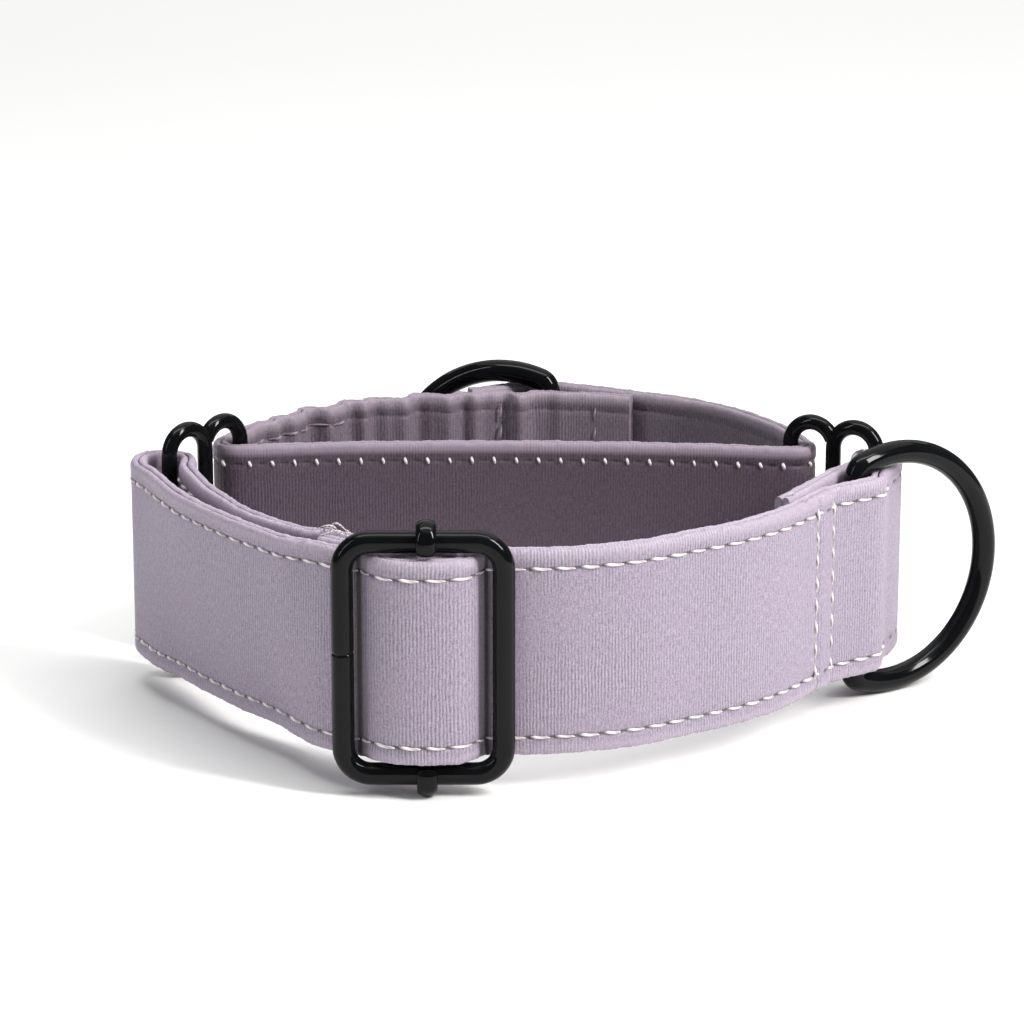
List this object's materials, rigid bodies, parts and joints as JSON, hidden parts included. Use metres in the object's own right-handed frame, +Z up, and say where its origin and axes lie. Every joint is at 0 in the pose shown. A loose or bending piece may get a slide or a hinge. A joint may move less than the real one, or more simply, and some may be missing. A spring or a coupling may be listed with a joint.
{
  "type": "martingale dog collar",
  "caption": "Fabric martingale collar with a slider, two link rings, a control loop and two D-rings, standing on edge.",
  "frame": {"origin": "on the surface that the collar stands on, under the middle of its bounding box", "axes": "+X to the right along the front strap, +Y from the slider's side to the control loop's, +Z up across the strap's width"},
  "size_m": [0.1662, 0.1362, 0.0508],
  "materials": {
    "satin_fabric": "satin",
    "lining": "satin",
    "webbing": "matte",
    "thread": "matte",
    "black_metal": "gloss"
  },
  "bodies": {
    "strap": {"strap_face": "satin_fabric", "strap_webbing": "webbing", "strap_lining": "lining", "right_topstitch_lower": "thread", "right_topstitch_upper": "thread", "left_topstitch_lower": "thread", "left_topstitch_upper": "thread", "tag_seam_front": "thread", "tag_seam_rear": "thread", "slider_end_seam": "thread", "slider_centre_bar": "black_metal"},
    "slider": {"slider_frame": "black_metal"},
    "tag_ring": {"tag_d_ring": "black_metal"},
    "left_link": {"left_link_ring": "black_metal"},
    "right_link": {"right_link_ring": "black_metal"},
    "control_loop": {"control_loop_face": "satin_fabric", "control_loop_webbing": "webbing", "control_loop_lining": "lining", "loop_topstitch_lower": "thread", "loop_topstitch_upper": "thread", "leash_seam_left": "thread", "leash_seam_right": "thread"},
    "leash_ring": {"leash_d_ring": "black_metal"}
  },
  "joints": [
    {"name": "slider_shift", "type": "slide", "parent": "strap", "child": "slider", "axis": [1, 0, 0], "range_m": [-0.0012, 0.0012]},
    {"name": "tag_ring_swing", "type": "hinge", "parent": "strap", "child": "tag_ring", "pos_m": [0.05444, -0.00969, 0.0247], "axis": [0, 0, 1], "range_deg": [-122, 3]},
    {"name": "right_link_turn", "type": "hinge", "parent": "strap", "child": "right_link", "pos_m": [0.05944, 0.00411, 0.0253], "axis": [0, 0, 1], "range_deg": [-8, 8]},
    {"name": "left_link_turn", "type": "hinge", "parent": "strap", "child": "left_link", "pos_m": [-0.07536, 0.00161, 0.0253], "axis": [0, 0, 1], "range_deg": [-5.2, 5.2]},
    {"name": "control_loop_turn", "type": "hinge", "parent": "right_link", "child": "control_loop", "pos_m": [0.04361, 0.01267, 0.0253], "axis": [0, 0, 1], "range_deg": [-10, 10]},
    {"name": "leash_ring_swing", "type": "hinge", "parent": "control_loop", "child": "leash_ring", "pos_m": [-0.00266, 0.05671, 0.0247], "axis": [0, 0, 1], "range_deg": [-140, 2]}
  ],
  "couplings": [
    {"joint": "left_link_turn", "follows": "right_link_turn", "ratio": 0.634},
    {"joint": "control_loop_turn", "follows": "right_link_turn", "ratio": -1.224}
  ]
}
